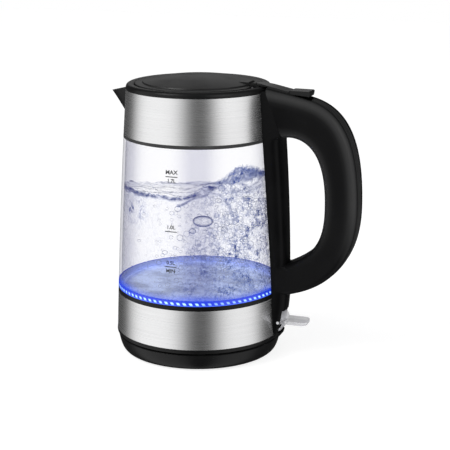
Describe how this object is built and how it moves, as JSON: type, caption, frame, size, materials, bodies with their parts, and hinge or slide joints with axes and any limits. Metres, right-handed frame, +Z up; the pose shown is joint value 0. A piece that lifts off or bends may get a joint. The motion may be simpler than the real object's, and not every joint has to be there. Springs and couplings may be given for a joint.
{
  "type": "electric kettle",
  "caption": "Electric kettle with a glass body between steel bands, sprung push-button lid, hollow D-shaped handle, rear switch paddle and round lift-off power base.",
  "frame": {"origin": "on the body's axis at the level of the table", "axes": "+Z up, +X towards the handle, -X towards the spout, +Y towards the cord outlet of the power base"},
  "size_m": [0.2337, 0.1537, 0.2534],
  "materials": {
    "black_plastic": "satin black moulding",
    "matt_plastic": "fine matt black moulding",
    "gloss_plastic": "semi-gloss black moulding",
    "rubber": "soft black rubber",
    "silicone": "translucent silicone",
    "brushed_steel": "brushed around the body",
    "screw_steel": "plain zinc-plated or stainless steel",
    "brass": "bright contact metal",
    "aluminium": "cast and drawn, dull",
    "bimetal": "rolled snap-disc metal",
    "pale_plastic": "heat-proof off-white moulding",
    "circuit_board": "green solder mask",
    "light": "clear light guide lit blue",
    "glass": "clear borosilicate",
    "clear_plastic": "clear polycarbonate"
  },
  "bodies": {
    "power_base": {"base_shell": "black_plastic", "base_floor": "matt_plastic", "base_foot_ring": "rubber", "base_screws": "screw_steel", "coupler_plug": "matt_plastic", "plug_contacts": "brass", "cord_gland": "matt_plastic"},
    "coupler_socket": {"coupler_socket": "matt_plastic", "socket_contacts": "brass"},
    "kettle": {"underside_cover": "black_plastic", "underside_screws": "screw_steel", "lower_frame": "black_plastic", "lower_band": "brushed_steel", "led_board": "circuit_board", "led_chips": "light", "light_ring": "light", "glass_gasket": "silicone", "heating_plate": "brushed_steel", "heat_spreader": "aluminium", "heating_element": "aluminium", "control_body": "pale_plastic", "bimetal_discs": "bimetal", "glass_body": "glass", "upper_seal": "rubber", "upper_band": "brushed_steel", "upper_frame": "black_plastic", "collar": "black_plastic", "spout": "black_plastic", "column": "black_plastic", "steam_tube": "pale_plastic", "handle_body": "matt_plastic", "handle_cover": "gloss_plastic", "handle_screws": "screw_steel", "hinge_cover": "black_plastic", "hinge_pin": "screw_steel", "lid_spring": "screw_steel", "button_pin": "screw_steel", "latch_spring": "screw_steel", "switch_pin": "screw_steel"},
    "lid": {"lid_cover": "black_plastic", "lid_liner": "matt_plastic", "lid_seal": "silicone", "lid_screws": "screw_steel"},
    "release_button": {"release_button": "gloss_plastic"},
    "latch": {"latch_slider": "pale_plastic"},
    "switch": {"switch_lever": "clear_plastic"},
    "filter": {"filter_frame": "matt_plastic", "filter_mesh": "screw_steel"}
  },
  "joints": [
    {"name": "kettle_lift", "type": "slide", "parent": "power_base", "child": "coupler_socket", "axis": [0, 0, 1], "range_m": [0, 0.06]},
    {"name": "kettle_turn", "type": "hinge", "parent": "coupler_socket", "child": "kettle", "pos_m": [0, 0, 0.0285], "axis": [0, 0, 1], "continuous": true},
    {"name": "lid_hinge", "type": "hinge", "parent": "kettle", "child": "lid", "pos_m": [0.0535, 0, 0.2452], "axis": [0, 1, 0], "range_deg": [0, 75]},
    {"name": "button_press", "type": "hinge", "parent": "kettle", "child": "release_button", "pos_m": [0.0888, 0, 0.2376], "axis": [0, 1, 0], "range_deg": [0, 8], "stiffness_Nm_per_rad": 0.2, "springref_deg": -5.73},
    {"name": "latch_slide", "type": "slide", "parent": "kettle", "child": "latch", "axis": [1, 0, 0], "range_m": [0, 0.0015]},
    {"name": "switch_rock", "type": "hinge", "parent": "kettle", "child": "switch", "pos_m": [0.07921, 0, 0.0332], "axis": [0, -1, 0], "range_deg": [0, 14]},
    {"name": "filter_slide", "type": "slide", "parent": "kettle", "child": "filter", "axis": [1, 0, 0], "range_m": [0, 0.02]}
  ],
  "couplings": [
    {"joint": "latch_slide", "follows": "button_press", "m_per_rad": 0.0104}
  ]
}
